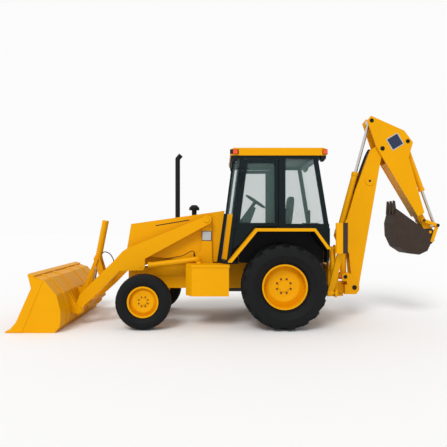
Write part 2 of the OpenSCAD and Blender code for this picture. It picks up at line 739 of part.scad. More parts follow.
// Wheels
disc_t = 16;
rim_t = 10;
rim_lip = 16;
rear_hub_d = 170;
rear_hub_w = 200;
rear_dish = 20;
front_hub_d = 100;
front_hub_w = 90;
front_dish = 32;
module rear_rim() translate([rear_x, -rear_track, rear_z])
    rim(rear_rim_d, rear_tyre_w, rear_dish, disc_t, rear_hub_d, rear_hub_w, shaft_d, rim_t, rim_lip);
module front_rim() translate([front_x, -front_track, front_z])
    rim(front_rim_d, front_tyre_w, front_dish, disc_t, front_hub_d, front_hub_w, spindle_d, rim_t, rim_lip);
module rear_tyre() translate([rear_x, -rear_track, rear_z])
    tyre(rear_tyre_d, rear_tyre_w, rear_rim_d, rear_pitches, lug_shares, lug_depth, lug_lean_share);
module front_tyre() translate([front_x, -front_track, front_z])
    tyre(front_tyre_d, front_tyre_w, front_rim_d, front_pitches, rib_shares, 0, 0);
module rear_rim_left() color("gold") rear_rim();
module rear_rim_right() color("gold") mirror([0, 1, 0]) rear_rim();
module front_rim_left() color("gold") front_rim();
module front_rim_right() color("gold") mirror([0, 1, 0]) front_rim();
module rear_tyre_left() color("black") rear_tyre();
module rear_tyre_right() color("black") mirror([0, 1, 0]) rear_tyre();
module front_tyre_left() color("black") front_tyre();
module front_tyre_right() color("black") mirror([0, 1, 0]) front_tyre();

// Loader arms: two side plates, the knee that takes the lift rods, and two cross tubes
bucket_pin = [-2542, 250];
bucket_pin_d = 50;
arm_boss_d = 150;
arm_end_d = 160;
arm_shares = [[0.005, -0.045], [0.614, 0.312], [0.655, 0.350], [0.715, 0.445], [0.988, 0.832],
    [1.020, 0.960], [0.985, 1.035], [0.949, 0.948], [0.829, 0.794], [0.678, 0.568], [0.552, 0.562],
    [0.494, 0.562], [0.480, 0.520], [0.482, 0.434], [-0.023, 0.040]];
lift_eye = [-1535, 939];
lift_eye_d = 84;
lift_eye_w = 46;
knee_plate = 10;
knee_slot = [[-1670, 800], [-1380, 1060]];
rocker_pin = [-2279, 704];
rocker_tube_d = 64;
foot_tube = [-2420, 330];
foot_tube_d = 80;
tilt_foot = [-2495, 420];
tilt_foot_w = 60;
tilt_foot_d = 80;
foot_lug_t = 15;
foot_lug_d = 84;
module loader_arms() color("gold") {
    reach = bucket_pin - arm_pivot;
    outline = [for (s = arm_shares) arm_pivot + [s[0] * reach[0], s[1] * reach[1]]];
    sides() difference() {
        union() {
            slab(outline, arm_in, arm_out);
            pin(arm_pivot, arm_in, arm_out, arm_boss_d);
            pin(bucket_pin, arm_in, arm_out, arm_end_d);
        }
        pin(arm_pivot, arm_in - over, arm_out + over, arm_pin_d + 2 * fit);
        pin(bucket_pin, arm_in - over, arm_out + over, bucket_pin_d + 2 * fit);
        block([knee_slot[0][0], arm_in + knee_plate, knee_slot[0][1]],
            [knee_slot[1][0], arm_out - knee_plate, knee_slot[1][1]]);
    }
    pin(rocker_pin, -arm_in, arm_in, rocker_tube_d);
    pin(foot_tube, -arm_in, arm_in, foot_tube_d);
    sides()
        link(foot_tube, tilt_foot, foot_lug_d, tilt_foot_w / 2 + gap, tilt_foot_w / 2 + gap + foot_lug_t);
}

// Lift cylinders
arm_mid = arm_in + arm_t / 2;
lift_len = 790;
lift_inside = 120;
module lift_barrels() color("gold") sides()
    barrel(lift_base, lift_eye, lift_len, lift_barrel_d, lift_rod_d, lift_eye_d + 2 * gap, arm_t, lift_pin_d,
        arm_mid);
module lift_rods() color("silver") sides()
    rod(lift_base, lift_eye, lift_inside, lift_rod_d, lift_eye_d, lift_eye_w, arm_mid);

// Tilt linkage: rocker plates on the cross tube, a cylinder hung in them, and links to the bucket
apex = [-2378, 1019];
link_eye = [-2590, 500];
tilt_barrel_d = 110;
tilt_collar_d = 130;
tilt_barrel_up = 674;
tilt_barrel_down = 55;
tilt_rod_d = 50;
tilt_inside = 150;
trunnion_d = 44;
rocker_y = [70, 92];
link_y = [97, 117];
rocker_w = 112;
rocker_boss_d = 124;
link_w = 64;
module tilt_rocker() color("gold") sides() difference() {
    union() {
        link(rocker_pin, apex, rocker_w, rocker_y[0], rocker_y[1]);
        pin(rocker_pin, rocker_y[0], rocker_y[1], rocker_boss_d);
    }
    pin(rocker_pin, rocker_y[0] - over, rocker_y[1] + over, rocker_tube_d + 2 * fit);
    pin(apex, rocker_y[0] - over, rocker_y[1] + over, trunnion_d + 2 * fit);
}
module tilt_links() color("gold") sides() difference() {
    link(apex, link_eye, link_w, link_y[0], link_y[1]);
    pin(apex, link_y[0] - over, link_y[1] + over, trunnion_d + 2 * fit);
}
module tilt_barrel() color("gold") difference() {
    low = along(apex, tilt_foot, tilt_barrel_down);
    top = along(tilt_foot, apex, span(tilt_foot, apex) + tilt_barrel_up);
    floor_at = along(tilt_foot, apex, span(tilt_foot, apex) + tilt_barrel_up - tilt_barrel_down);
    union() {
        bar(low, top, tilt_barrel_d);
        bar(low, along(tilt_foot, apex, span(tilt_foot, apex) + tilt_barrel_down), tilt_collar_d);
        pin(apex, -link_y[1] - gap, link_y[1] + gap, trunnion_d);
    }
    bar(along(apex, tilt_foot, tilt_barrel_down + over), floor_at, tilt_rod_d + 2 * gland);
}
module tilt_rod() color("silver") {
    pin(tilt_foot, -tilt_foot_w / 2, tilt_foot_w / 2, tilt_foot_d);
    bar(tilt_foot, along(tilt_foot, apex, span(tilt_foot, apex) + tilt_inside), tilt_rod_d);
}

// Loader bucket: one bent sheet, two side plates, a cutting edge and the ears on its back
bucket_depth = 831;
bucket_h = 862;
bucket_lip = [-3471, 0];
bucket_shares = [[0, 0], [0.892, 0], [0.982, 0.104], [1, 0.232], [1, 0.383], [0.928, 0.650], [0.697, 0.915],
    [0.414, 1]];
cheek_shares = [[0.037, 0], [0.892, 0], [0.982, 0.104], [1, 0.232], [1, 0.383], [0.928, 0.650],
    [0.697, 0.915], [0.414, 1], [0.470, 0.770], [0.200, 0.181]];
edge_len = 170;
edge_t = 32;
edge_bore = 17.5;
edge_bore_x = 100;
edge_bores = 6;
edge_pitch = 360;
bucket_ear_t = 15;
bucket_ear_d = 120;
link_lug_y = 122;
link_lug_t = 18;
link_lug_d = 92;
// Edges of a closed outline moved inwards, each by its own distance
function inset(p, d) = [for (i = [0 : len(p) - 1]) let (
    n = len(p), a = p[(i + n - 1) % n], b = p[i], c = p[(i + 1) % n],
    u = (b - a) / norm(b - a), v = (c - b) / norm(c - b), m = [-u[1], u[0]], k = [-v[1], v[0]],
    du = d[(i + n - 1) % n], dv = d[i], det = m[0] * k[1] - m[1] * k[0])
    b + [(du * k[1] - m[1] * dv) / det, (m[0] * dv - du * k[0]) / det]];
module loader_bucket() color("gold") {
    outer = [for (s = bucket_shares) bucket_lip + [s[0] * bucket_depth, s[1] * bucket_h]];
    n = len(outer);
    inner = inset(outer, [for (i = [0 : n - 1]) i == n - 1 ? -bucket_depth : bucket_t]);
    cheek = [for (s = cheek_shares) bucket_lip + [s[0] * bucket_depth, s[1] * bucket_h]];
    sheet = outer[4] - [bucket_t / 2, 0];
    high = outer[5] - [bucket_t / 2, 0];
    low = outer[3] - [bucket_t / 2, 0];
    half = bucket_w / 2;
    difference() {
        union() {
            difference() {
                slab(outer, -half, half);
                slab(inner, -half - over, half + over);
            }
            slab([bucket_lip, bucket_lip + [edge_len, 0], bucket_lip + [edge_len, edge_t],
                bucket_lip + [edge_t, edge_t]], -half, half);
            sides() slab(cheek, half - bucket_t, half);
        }
        for (i = [0 : edge_bores - 1])
            translate([bucket_lip[0] + edge_bore_x, (i - (edge_bores - 1) / 2) * edge_pitch, -over])
                cylinder(d = edge_bore, h = edge_t + 2 * over);
    }
    sides() {
        for (y = [arm_in - gap - bucket_ear_t, arm_out + gap]) {
            slab([sheet, high, bucket_pin + [0, bucket_ear_d / 2], bucket_pin - [0, bucket_ear_d / 2], low],
                y, y + bucket_ear_t);
            pin(bucket_pin, y, y + bucket_ear_t, bucket_ear_d);
        }
        pin(bucket_pin, arm_in - gap - bucket_ear_t, arm_out + gap + bucket_ear_t, bucket_pin_d);
        slab([sheet, link_eye - [0, link_lug_d / 2], link_eye + [0, link_lug_d / 2], high],
            link_lug_y, link_lug_y + link_lug_t);
        pin(link_eye, link_lug_y, link_lug_y + link_lug_t, link_lug_d);
    }
}

// Swing mast: knuckle with its upright pin, front wall and two cheeks
boom_foot = [2012, 544];
foot_pin_d = 70;
boom_base = [1858, 725];
dig_pin_d = 50;
mast_in = boom_half + gap;
mast_out = mast_in + cheek_t;
knuckle_d = 110;
mast_low = lug_low + lug_t + gap;
mast_mid = lug_high - gap;
mast_wall = [1850, 1880];
mast_pts = [[1850, 430], [2040, 430], [2095, 500], [2095, 580], [1960, 770], [1900, 800], [1805, 770],
    [1805, 655], [1885, 650], [1885, 590], [1850, 590]];
module swing_mast() color("gold") {
    translate([swing_x, 0, lug_low]) cylinder(d = king_d, h = lug_high + lug_t - lug_low);
    translate([swing_x, 0, mast_low]) cylinder(d = knuckle_d, h = mast_mid - mast_low);
    block([swing_x, -knuckle_d / 2, mast_low], [mast_wall[1], knuckle_d / 2, mast_mid]);
    block([mast_wall[0], -mast_out, mast_low], [mast_wall[1], mast_out, mast_mid]);
    sides() slab(mast_pts, mast_in, mast_out);
    pin(boom_foot, -mast_out - gap, mast_out + gap, foot_pin_d);
    pin(boom_base, -mast_out - gap, mast_out + gap, dig_pin_d);
}

// Boom: two side plates, a core above the cylinder's room, a rear web and the foot boss
boom_angle = 78.6;
boom_tip = local(boom_foot, boom_angle, [boom_len, 0]);
boom_eye_share = [0.3065, 0.1304];
crowd_base_share = [0.3501, 0.1674];
boom_eye = local(boom_foot, boom_angle, boom_eye_share * boom_len);
crowd_base = local(boom_foot, boom_angle, crowd_base_share * boom_len);
boom_shares = [[0, -0.0332], [0.934, -0.0083], [1, -0.0299], [1.028, 0], [1.0174, 0.0374], [0.9693, 0.0789],
    [0.6765, 0.1246], [0.4684, 0.1433], [0.4153, 0.1570], [0.3800, 0.1890], [0.3322, 0.1910],
    [0.2865, 0.1600], [0.2575, 0.1080], [0.2247, 0.0789], [0.0764, 0.0353], [0, 0.0341]];
core_shares = [[0.43, -0.010], [0.934, -0.0060], [1, -0.0280], [1.020, 0], [1.010, 0.035], [0.966, 0.074],
    [0.6765, 0.108], [0.47, 0.120], [0.43, 0.110]];
web_shares = [[0.06, -0.030], [0.44, -0.021], [0.44, -0.009], [0.06, -0.018]];
foot_boss_d = 164;
foot_tube_out = 102;
tip_pin_d = 60;
tip_boss_d = 150;
function boom_pts(shares) = [for (s = shares) local(boom_foot, boom_angle, s * boom_len)];
module boom() color("gold") {
    inside = boom_half - cheek_t;
    difference() {
        union() {
            sides() {
                slab(boom_pts(boom_shares), inside, boom_half);
                pin(boom_foot, inside, boom_half, foot_boss_d);
                pin(boom_tip, inside, boom_half, tip_boss_d);
            }
            slab(boom_pts(core_shares), -inside, inside);
            slab(boom_pts(web_shares), -inside, inside);
            pin(boom_foot, -inside, inside, foot_tube_out);
        }
        pin(boom_foot, -boom_half - over, boom_half + over, foot_pin_d + 2 * fit);
    }
    pin(crowd_base, -boom_half, boom_half, dig_pin_d);
    pin(boom_tip, -mast_out - gap, mast_out + gap, tip_pin_d);
}

// Dipper: two head cheeks, a body between them and a slimmer end for the bucket
dipper_angle = -59.5;
dipper_tip = local(boom_tip, dipper_angle, [dipper_len, 0]);
crowd_eye_share = [-0.3048, 0.0506];
curl_base_share = [0.0678, 0.2623];
curl_rock_share = [0.8566, -0.0064];
crowd_eye = local(boom_tip, dipper_angle, crowd_eye_share * dipper_len);
curl_base = local(boom_tip, dipper_angle, curl_base_share * dipper_len);
curl_rock = local(boom_tip, dipper_angle, curl_rock_share * dipper_len);
cheek_top_shares = [[-0.3510, 0.0698], [-0.3280, 0.0125], [-0.045, -0.046], [0.79, -0.040], [0.79, 0.036],
    [0.2157, 0.188], [0.1600, 0.2450], [0.1050, 0.3040], [-0.0470, 0.2860]];
body_shares = [[0.1518, -0.0420], [0.79, -0.0380], [0.79, 0.034], [0.2157, 0.1760], [0.1518, 0.1780]];
end_shares = [[0.78, -0.0360], [0.9265, -0.0370], [1, -0.0370], [1.030, 0], [1, 0.0370], [0.8300, 0.0300],
    [0.78, 0.0310]];
top_web_shares = [[-0.2000, 0.1773], [-0.0607, 0.2763], [-0.0520, 0.2640], [-0.1913, 0.1650]];
tip_d = 122;
rock_pin_d = 40;
rock_boss_d = 84;
function dipper_pts(shares) = [for (s = shares) local(boom_tip, dipper_angle, s * dipper_len)];
module dipper() color("gold") {
    difference() {
        union() {
            sides() slab(dipper_pts(cheek_top_shares), mast_in, mast_out);
            slab(dipper_pts(body_shares), -mast_in, mast_in);
            slab(dipper_pts(end_shares), -dipper_half, dipper_half);
            slab(dipper_pts(top_web_shares), -mast_in, mast_in);
            sides() pin(boom_tip, mast_in, mast_out, tip_boss_d);
            pin(dipper_tip, -dipper_half, dipper_half, tip_d);
            pin(curl_rock, -dig_rocker_y[0] + gap, dig_rocker_y[0] - gap, rock_boss_d);
        }
        pin(boom_tip, -mast_out - over, mast_out + over, tip_pin_d + 2 * fit);
    }
    pin(curl_base, -mast_out - gap, mast_out + gap, dig_pin_d);
    pin(dipper_tip, -dig_ear_y[1], dig_ear_y[1], dig_pin_d);
    pin(curl_rock, -dig_rocker_y[1] - gap, dig_rocker_y[1] + gap, rock_pin_d);
}

// Curl linkage: rocker plates on the dipper, link plates to the bucket
dig_ear_y = [dipper_half + gap, 100];
dig_link_y = [105, 123];
dig_rocker_y = [128, 146];
curl_eye_at = [110, 114];
curl_pin_at = [22, -146];
curl_eye = dipper_tip + curl_eye_at;
curl_pin = dipper_tip + curl_pin_at;
dig_link_w = 58;
module curl_rocker() color("gold") sides() {
    difference() {
        link(curl_rock, curl_eye, dig_link_w, dig_rocker_y[0], dig_rocker_y[1]);
        pin(curl_rock, dig_rocker_y[0] - over, dig_rocker_y[1] + over, rock_pin_d + 2 * fit);
    }
    pin(curl_eye, dig_ear_y[1], dig_rocker_y[1], rock_pin_d);
}
module curl_link() color("gold") sides() difference() {
    link(curl_eye, curl_pin, dig_link_w, dig_link_y[0], dig_link_y[1]);
    pin(curl_eye, dig_link_y[0] - over, dig_link_y[1] + over, rock_pin_d + 2 * fit);
}

// Dig bucket: a bent sheet with side plates, three teeth and two ears
dig_depth = 650;
dig_h = 775;
dig_at = [-683, -381];
dig_shares = [[0.0923, 1], [0, 0.690], [0.0154, 0.406], [0.1538, 0.161], [0.4, 0.0258], [0.677, 0],
    [0.892, 0.084], [0.985, 0.252], [0.938, 0.484]];
dig_ear_shares = [[0.905, 0.560], [1.05, 0.574], [1.146, 0.492], [1.157, 0.303], [1.085, 0.235],
    [0.985, 0.190], [0.920, 0.480]];
tooth_shares = [[0.0246, 0.880], [0.1077, 0.985], [0.0769, 1.170], [0.0462, 1.181]];
tooth_w = 66;
tooth_side_share = 0.78;
ear_d = 120;
module dig_bucket() color("saddlebrown") {
    at = dipper_tip + dig_at;
    outer = [for (s = dig_shares) at + [s[0] * dig_depth, s[1] * dig_h]];
    n = len(outer);
    inner = inset(outer, [for (i = [0 : n - 1]) i == n - 1 ? -dig_depth / 2 : dig_t]);
    half = dig_w / 2;
    difference() {
        slab(outer, -half, half);
        slab(inner, -half + dig_t, half - dig_t);
    }
    for (i = [-1, 0, 1]) translate([0, i * (half - tooth_w / 2) * tooth_side_share, 0])
        slab([for (s = tooth_shares) at + [s[0] * dig_depth, s[1] * dig_h]], -tooth_w / 2, tooth_w / 2);
    sides() difference() {
        union() {
            slab([for (s = dig_ear_shares) at + [s[0] * dig_depth, s[1] * dig_h]],
                dig_ear_y[0], dig_ear_y[1]);
            pin(dipper_tip, dig_ear_y[0], dig_ear_y[1], ear_d);
        }
        pin(dipper_tip, dig_ear_y[0] - over, dig_ear_y[1] + over, dig_pin_d + 2 * fit);
    }
}

// Backhoe cylinders
dig_eye_d = 110;
rod_eye_d = 96;
boom_barrel_len = 500;
boom_rod_inside = 72;
crowd_barrel_len = 1100;
crowd_held = 80;
crowd_rod_inside = crowd_barrel_len - crowd_held;
curl_barrel_len = 890;
curl_held = 100;
curl_barrel_d = 90;
curl_rod_inside = curl_barrel_len - curl_held;
curl_eye_d = 78;
curl_eye_w = 150;
boom_eye_w = 160;
rod_eye_w = 120;
module boom_barrel() color("gold")
    barrel(boom_base, boom_eye, boom_barrel_len, dig_barrel_d, dig_rod_d, dig_eye_d, boom_eye_w, dig_pin_d);
module boom_rod() color("silver") rod(boom_base, boom_eye, boom_rod_inside, dig_rod_d, rod_eye_d, rod_eye_w);
module crowd_barrel() color("gold")
    barrel(crowd_base, crowd_eye, crowd_barrel_len, dig_barrel_d, dig_rod_d, dig_eye_d, rod_eye_w, dig_pin_d);
module crowd_rod() color("silver")
    rod(crowd_base, crowd_eye, crowd_rod_inside, dig_rod_d, rod_eye_d, rod_eye_w);
module curl_barrel() color("gold")
    barrel(curl_base, curl_eye, curl_barrel_len, curl_barrel_d, dig_rod_d, dig_eye_d, rod_eye_w, dig_pin_d);
module curl_rod() color("silver")
    rod(curl_base, curl_eye, curl_rod_inside, dig_rod_d, curl_eye_d, curl_eye_w);

// Stabilizers: arms that swing about the machine's length, their pads and cylinders
stab_tilt = 21.5;
stab_t = 40;
stab_lean = 130;
stab_eye_d = 100;
stab_arm_pin = [85, 200];
stab_lug_t = 12;
stab_lug_d = 78;
stab_rod_eye_d = 68;
stab_barrel_d = 72;
stab_rod_d = 38;
stab_barrel_len = 420;
stab_rod_inside = 62;
pad_x = 1650;
pad_low = 1180;
function stab_place(p) = stab_pivot + [p[1] * sin(stab_tilt) - p[0] * cos(stab_tilt),
    p[1] * cos(stab_tilt) + p[0] * sin(stab_tilt)];
module stabilizer() {
    tip_y = stab_pivot[0] + stab_len * sin(stab_tilt);
    off = stab_plane - stab_x;
    translate([stab_x, stab_pivot[0], stab_pivot[1]]) rotate([-stab_tilt, 0, 0]) {
        difference() {
            union() {
                slab([[-stab_w / 2, 0], [stab_w / 2, 0], [stab_w / 2 + stab_lean, stab_len],
                    [-stab_w / 2 + stab_lean, stab_len]], -stab_t / 2, stab_t / 2);
                translate([-stab_w / 2, 0, 0]) rotate([0, 90, 0]) cylinder(d = stab_eye_d, h = stab_w);
            }
            translate([-stab_w, 0, 0]) rotate([0, 90, 0]) cylinder(d = stab_pin_d + 2 * fit, h = 2 * stab_w);
        }
        for (s = [-1, 1])
            translate([off + s * (stab_eye_w / 2 + gap + stab_lug_t / 2) - stab_lug_t / 2, 0, 0]) {
            translate([0, -stab_arm_pin[0], stab_arm_pin[1]]) rotate([0, 90, 0])
                cylinder(d = stab_lug_d, h = stab_lug_t);
            translate([0, -stab_arm_pin[0], stab_arm_pin[1] - stab_lug_d / 2])
                cube([stab_lug_t, stab_arm_pin[0], stab_lug_d]);
        }
    }
    block([pad_x - pad_w, tip_y, pad_low], [pad_x, tip_y + pad_t, pad_low + pad_len]);
}
// A YZ cylinder is drawn in the XZ plane and turned a quarter about Z
module quarter() translate([stab_plane, 0, 0]) rotate([0, 0, 90]) children();
module stab_barrel() quarter()
    barrel(stab_base, stab_place(stab_arm_pin), stab_barrel_len, stab_barrel_d, stab_rod_d, stab_rod_eye_d,
        stab_base_w, stab_pin_d);
module stab_rod() quarter()
    rod(stab_base, stab_place(stab_arm_pin), stab_rod_inside, stab_rod_d, stab_rod_eye_d, stab_eye_w);
module stabilizer_left() color("gold") mirror([0, 1, 0]) stabilizer();
module stabilizer_right() color("gold") stabilizer();
module stab_barrel_left() color("gold") mirror([0, 1, 0]) stab_barrel();
module stab_barrel_right() color("gold") stab_barrel();
module stab_rod_left() color("silver") mirror([0, 1, 0]) stab_rod();
module stab_rod_right() color("silver") stab_rod();

frame();
loader_towers();
rear_frame();
engine();
hood();
grille();
exhaust_stack();
air_cleaner();
side_tanks();
cab_frame();
cab_roof();
cab_glass();
door_left();
door_right();
door_glass_left();
door_glass_right();
fenders();
driver_seat();
controls();
lamps();
front_axle();
rear_axle();
knuckle_left();
knuckle_right();
front_rim_left();
front_rim_right();
rear_rim_left();
rear_rim_right();
front_tyre_left();
front_tyre_right();
rear_tyre_left();
rear_tyre_right();
loader_arms();
loader_bucket();
lift_barrels();
lift_rods();
tilt_rocker();
tilt_links();
tilt_barrel();
tilt_rod();
swing_mast();
boom();
dipper();
dig_bucket();
boom_barrel();
boom_rod();
crowd_barrel();
crowd_rod();
curl_barrel();
curl_rod();
curl_rocker();
curl_link();
stabilizer_left();
stabilizer_right();
stab_barrel_left();
stab_barrel_right();
stab_rod_left();
stab_rod_right();
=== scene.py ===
"""Finish, trim and studio of the backhoe loader. Metres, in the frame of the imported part."""
import json
import math

import bmesh
import bpy
from mathutils import Matrix, Vector


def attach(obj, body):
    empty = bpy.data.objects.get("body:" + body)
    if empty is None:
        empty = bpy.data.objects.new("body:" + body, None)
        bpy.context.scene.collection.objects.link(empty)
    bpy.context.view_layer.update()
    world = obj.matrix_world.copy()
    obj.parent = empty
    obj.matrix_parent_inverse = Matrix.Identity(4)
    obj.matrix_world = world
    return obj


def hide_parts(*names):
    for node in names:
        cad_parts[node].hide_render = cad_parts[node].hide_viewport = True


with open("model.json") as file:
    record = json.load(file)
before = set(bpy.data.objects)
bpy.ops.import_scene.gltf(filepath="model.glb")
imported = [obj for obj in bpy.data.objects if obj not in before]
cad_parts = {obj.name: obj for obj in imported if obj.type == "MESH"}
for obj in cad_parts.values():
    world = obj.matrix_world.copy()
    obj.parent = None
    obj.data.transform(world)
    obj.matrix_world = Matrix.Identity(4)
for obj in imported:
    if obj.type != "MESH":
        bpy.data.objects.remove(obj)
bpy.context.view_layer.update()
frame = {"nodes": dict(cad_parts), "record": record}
SIDES = (-1, 1)
SIDE_NAMES = (("left", -1), ("right", 1))
UP = (0, 0, 1)

# Colours as sRGB, 0 to 255, with roughness, metal and gloss
FINISHES = {
    "machine_yellow": ((229, 160, 1), 0.42, 0.0, 0.08),
    "dark_paint": ((22, 31, 34), 0.45, 0.0, 0.08),
    "black_plastic": ((20, 21, 23), 0.55, 0.0, 0.15),
    "cast_grey": ((70, 68, 62), 0.60, 0.2, 0.2),
    "seat_cover": ((34, 36, 38), 0.75, 0.0, 0.1),
    "lamp_lens": ((232, 84, 40), 0.22, 0.0, 0.3),
    "tyre_rubber": ((20, 21, 22), 0.70, 0.0, 0.14),
    "rod_steel": ((196, 196, 192), 0.20, 0.95, 0.5),
    "worn_brown": ((60, 49, 42), 0.65, 0.1, 0.15),
}
GLASS_RGB, GLASS_ROUGH, GLASS_ALPHA = (120, 150, 145), 0.06, 0.16
BLUE_RGB, GREY_RGB, PLATE_ROUGH = (44, 52, 78), (176, 184, 186), 0.4
FLOOR_RGB, FLOOR_ROUGH = (247, 247, 247), 0.9

# Noise in three finishes: scale, change of colour, bump
MOTTLES = (
    ("machine_yellow", 2.2, 0.05, 0),
    ("tyre_rubber", 26, 0.22, 0.25),
    ("worn_brown", 9, 0.25, 0.2),
)
NOISE_DETAIL = 6
BUMP_DEPTH = 0.004


def linear(rgb):
    """Linear colour of an sRGB one."""
    parts = [c / 255 for c in rgb]
    return tuple(c / 12.92 if c <= 0.04045 else ((c + 0.055) / 1.055) ** 2.4 for c in parts)


def new_material(name, rgb, roughness, metal=0.0, gloss=0.2):
    """Principled material with one colour."""
    made = bpy.data.materials.new(name)
    made.use_nodes = True
    shader = made.node_tree.nodes["Principled BSDF"]
    shader.inputs["Base Color"].default_value = (*linear(rgb), 1)
    shader.inputs["Roughness"].default_value = roughness
    shader.inputs["Metallic"].default_value = metal
    shader.inputs["Specular IOR Level"].default_value = gloss
    return made


def mottle(made, rgb, scale, amount, bump):
    """Break a material's colour and surface up with noise in object space."""
    tree = made.node_tree
    shader = tree.nodes["Principled BSDF"]
    place = tree.nodes.new("ShaderNodeTexCoord")
    noise = tree.nodes.new("ShaderNodeTexNoise")
    noise.inputs["Scale"].default_value = scale
    noise.inputs["Detail"].default_value = NOISE_DETAIL
    ramp = tree.nodes.new("ShaderNodeValToRGB")
    base = linear(rgb)
    ramp.color_ramp.elements[0].color = (*[c * (1 - amount) for c in base], 1)
    ramp.color_ramp.elements[1].color = (*[min(1, c * (1 + amount)) for c in base], 1)
    tree.links.new(place.outputs["Object"], noise.inputs["Vector"])
    tree.links.new(noise.outputs["Fac"], ramp.inputs["Fac"])
    tree.links.new(ramp.outputs["Color"], shader.inputs["Base Color"])
    if bump:
        rough = tree.nodes.new("ShaderNodeBump")
        rough.inputs["Strength"].default_value = bump
        rough.inputs["Distance"].default_value = BUMP_DEPTH
        tree.links.new(noise.outputs["Fac"], rough.inputs["Height"])
        tree.links.new(rough.outputs["Normal"], shader.inputs["Normal"])


LOOKS = {name: new_material(name, *finish) for name, finish in FINISHES.items()}
for name, scale, amount, bump in MOTTLES:
    mottle(LOOKS[name], FINISHES[name][0], scale, amount, bump)
LOOKS["glazing"] = new_material("glazing", GLASS_RGB, GLASS_ROUGH)
LOOKS["glazing"].node_tree.nodes["Principled BSDF"].inputs["Alpha"].default_value = GLASS_ALPHA
PLATE_BLUE = new_material("plate_blue", BLUE_RGB, PLATE_ROUGH)
PLATE_GREY = new_material("plate_grey", GREY_RGB, PLATE_ROUGH)

for row in frame["record"]["subparts"]:
    mesh = frame["nodes"][row["node"]].data
    mesh.materials.clear()
    mesh.materials.append(LOOKS[row["material_slot"]])


def add(name, mesh, look, body, smooth=False):
    """New piece from a bmesh, in a look, on a body."""
    data = bpy.data.meshes.new(name)
    bmesh.ops.recalc_face_normals(mesh, faces=mesh.faces)
    mesh.to_mesh(data)
    mesh.free()
    for face in data.polygons:
        face.use_smooth = smooth
    data.materials.append(look)
    piece = bpy.data.objects.new(name, data)
    bpy.context.scene.collection.objects.link(piece)
    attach(piece, body)
    return piece


def add_box(mesh, low, high):
    """Box between two corners."""
    size = Vector(high) - Vector(low)
    middle = (Vector(high) + Vector(low)) / 2
    place = Matrix.Translation(middle) @ Matrix.Diagonal((*size, 1))
    bmesh.ops.create_cube(mesh, size=1, matrix=place)


def add_disc(mesh, centre, axis, radius, thick, sides=24, taper_share=0.9):
    """Disc that stands out from centre along axis and tapers a little."""
    turn = Vector(axis).to_track_quat("Z", "Y").to_matrix().to_4x4()
    place = Matrix.Translation(Vector(centre) + Vector(axis) * thick / 2) @ turn
    bmesh.ops.create_cone(mesh, cap_ends=True, segments=sides, radius1=radius,
                          radius2=radius * taper_share, depth=thick, matrix=place)


def add_prism(mesh, ends):
    """Solid between two like rows of corners."""
    rows = [[mesh.verts.new(p) for p in end] for end in ends]
    for row in rows:
        mesh.faces.new(row)
    count = len(rows[0])
    for k in range(count):
        n = (k + 1) % count
        mesh.faces.new((rows[0][k], rows[0][n], rows[1][n], rows[1][k]))


def add_slab(mesh, outline, y0, y1):
    """Plate cut from an outline in the XZ plane, from y0 to y1."""
    add_prism(mesh, [[(x, y, z) for x, z in outline] for y in (y0, y1)])


def add_pair(name, outline, y0, y1, look, body):
    """The same plate on both sides of one body."""
    mesh = bmesh.new()
    for s in SIDES:
        add_slab(mesh, outline, s * y0, s * y1)
    return add(name, mesh, look, body)


def add_tube(mesh, points, radius, sides=10):
    """Round tube along points."""
    line = [Vector(p) for p in points]
    rings = []
    for i, p in enumerate(line):
        ahead = line[min(i + 1, len(line) - 1)] - line[max(i - 1, 0)]
        turn = ahead.to_track_quat("Z", "Y").to_matrix()
        ring = []
        for k in range(sides):
            a = 2 * math.pi * k / sides
            rim_at = Vector((radius * math.cos(a), radius * math.sin(a), 0))
            ring.append(mesh.verts.new(p + turn @ rim_at))
        rings.append(ring)
    for one, two in zip(rings, rings[1:]):
        for k in range(sides):
            n = (k + 1) % sides
            mesh.faces.new((one[k], one[n], two[n], two[k]))
    mesh.faces.new(rings[0])
    mesh.faces.new(rings[-1])


def curve_through(points, steps=8):
    """Smooth line through points."""
    line = [Vector(p) for p in points]
    line = [2 * line[0] - line[1]] + line + [2 * line[-1] - line[-2]]
    out = []
    for a, b, c, d in zip(line, line[1:], line[2:], line[3:]):
        for k in range(steps):
            t = k / steps
            out.append(0.5 * (2 * b + (c - a) * t + (2 * a - 5 * b + 4 * c - d) * t * t
                              + (3 * b - a - 3 * c + d) * t ** 3))
    return out + [line[-2]]


def local(origin, degrees, share, length):
    """XZ place of a share of a link's length, along and across it."""
    a = math.radians(degrees)
    u, v = share[0] * length, share[1] * length
    x = origin[0] + u * math.cos(a) - v * math.sin(a)
    z = origin[1] + u * math.sin(a) + v * math.cos(a)
    return (x, z)


def square(centre, turn, half):
    """Corners of a square about an XZ place, turned by degrees."""
    return [local(centre, turn, share, half) for share in ((-1, -1), (1, -1), (1, 1), (-1, 1))]


def band(points, thick):
    """Outline of a strap of one thickness that lies on the right of a line of XZ points."""
    line = [Vector(p) for p in points]
    outer = []
    for i, p in enumerate(line):
        along = (line[min(i + 1, len(line) - 1)] - line[max(i - 1, 0)]).normalized()
        outer.append(p + Vector((along.y, -along.x)) * thick)
    return [tuple(p) for p in line + outer[::-1]]


